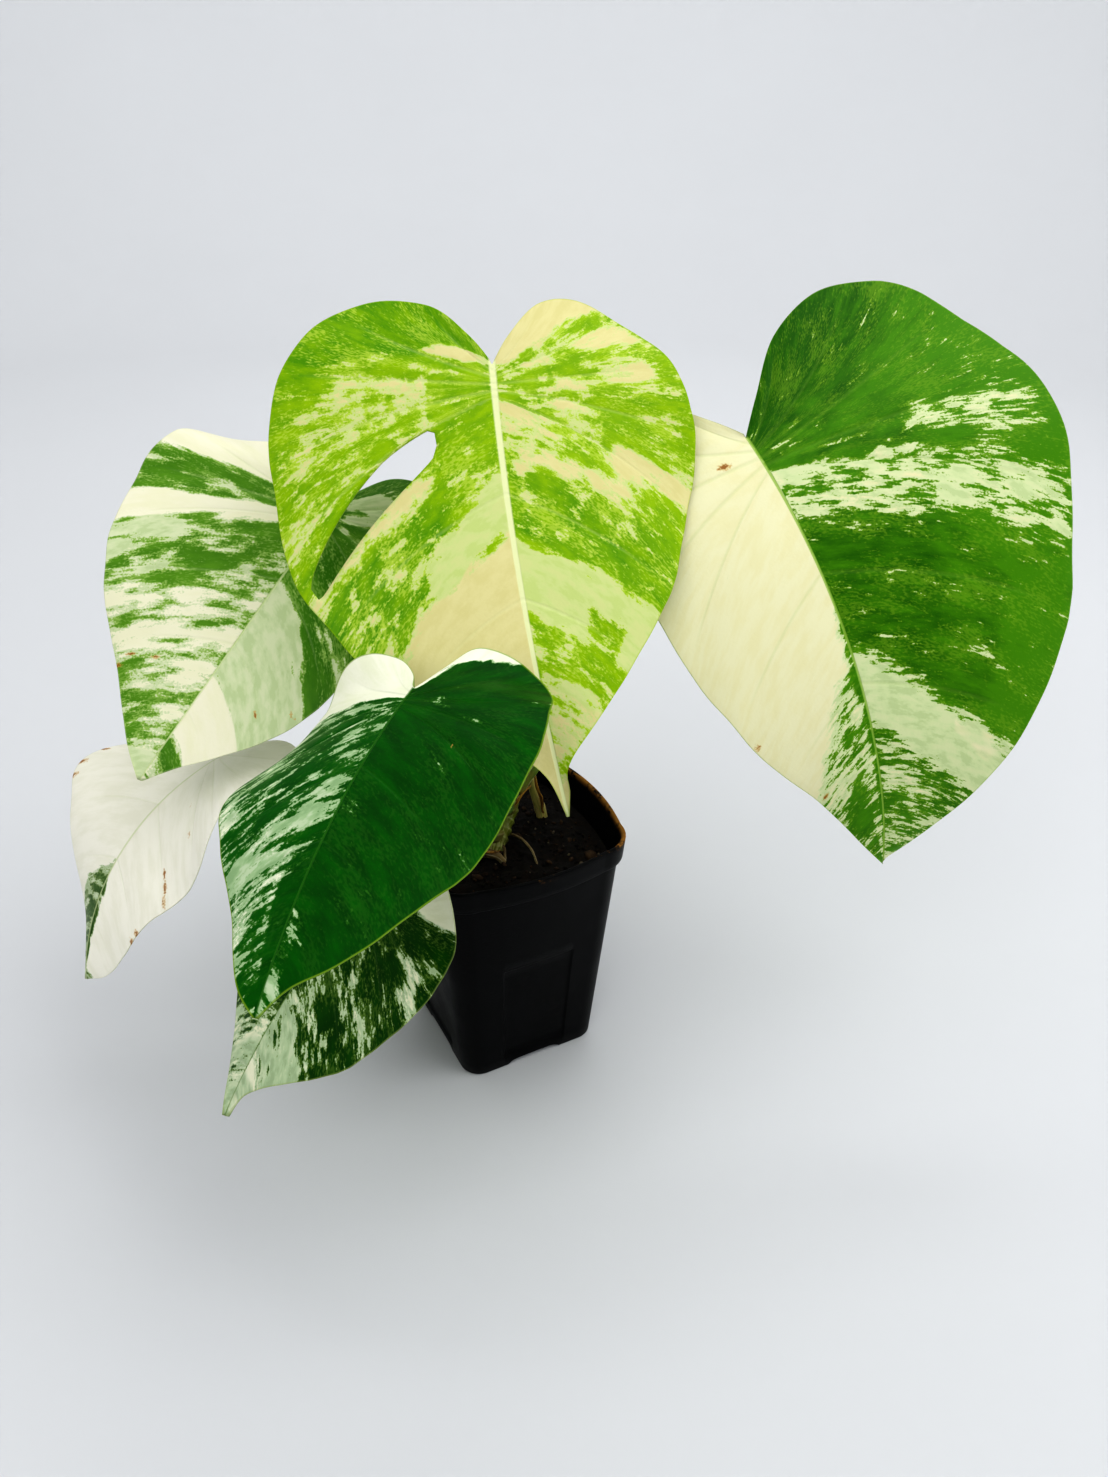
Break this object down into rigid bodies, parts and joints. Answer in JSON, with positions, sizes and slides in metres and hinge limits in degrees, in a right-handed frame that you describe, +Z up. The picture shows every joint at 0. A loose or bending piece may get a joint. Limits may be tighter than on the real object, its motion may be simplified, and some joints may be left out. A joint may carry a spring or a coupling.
{
  "type": "potted variegated monstera",
  "caption": "Young climbing aroid with heart-shaped green and cream leaves on long petioles, rooted in soil in a tall square black nursery pot.",
  "frame": {"origin": "middle of the pot's base, on the surface it stands on", "axes": "+Z up, X and Y square to the pot's walls; the most seen leaves lean towards -X and -Y"},
  "size_m": [0.3787, 0.2535, 0.3246],
  "materials": {
    "pot_plastic": "thin black moulded plastic, satin, a little dusty",
    "soil": "dark potting mix with bark",
    "green_stem": "smooth living stem, satin",
    "cream_petiole": "smooth living stem without green, satin",
    "lime_leaf": "young lime green blade marbled with cream, satin",
    "green_leaf": "mid green blade marbled with cream, satin",
    "white_leaf": "mostly white blade with green streaks, satin",
    "dark_leaf": "dark green glossy blade with white marbling"
  },
  "bodies": {
    "root": {"pot": "pot_plastic", "soil": "soil", "stem": "green_stem", "petiole_center": "cream_petiole", "petiole_right": "green_stem", "petiole_left": "green_stem", "petiole_outer_white": "green_stem", "petiole_front_dark": "green_stem", "petiole_lower_front": "green_stem", "leaf_center": "lime_leaf", "leaf_right": "green_leaf", "leaf_left": "white_leaf", "leaf_outer_white": "white_leaf", "leaf_front_dark": "dark_leaf", "leaf_lower_front": "dark_leaf"}
  },
  "joints": []
}
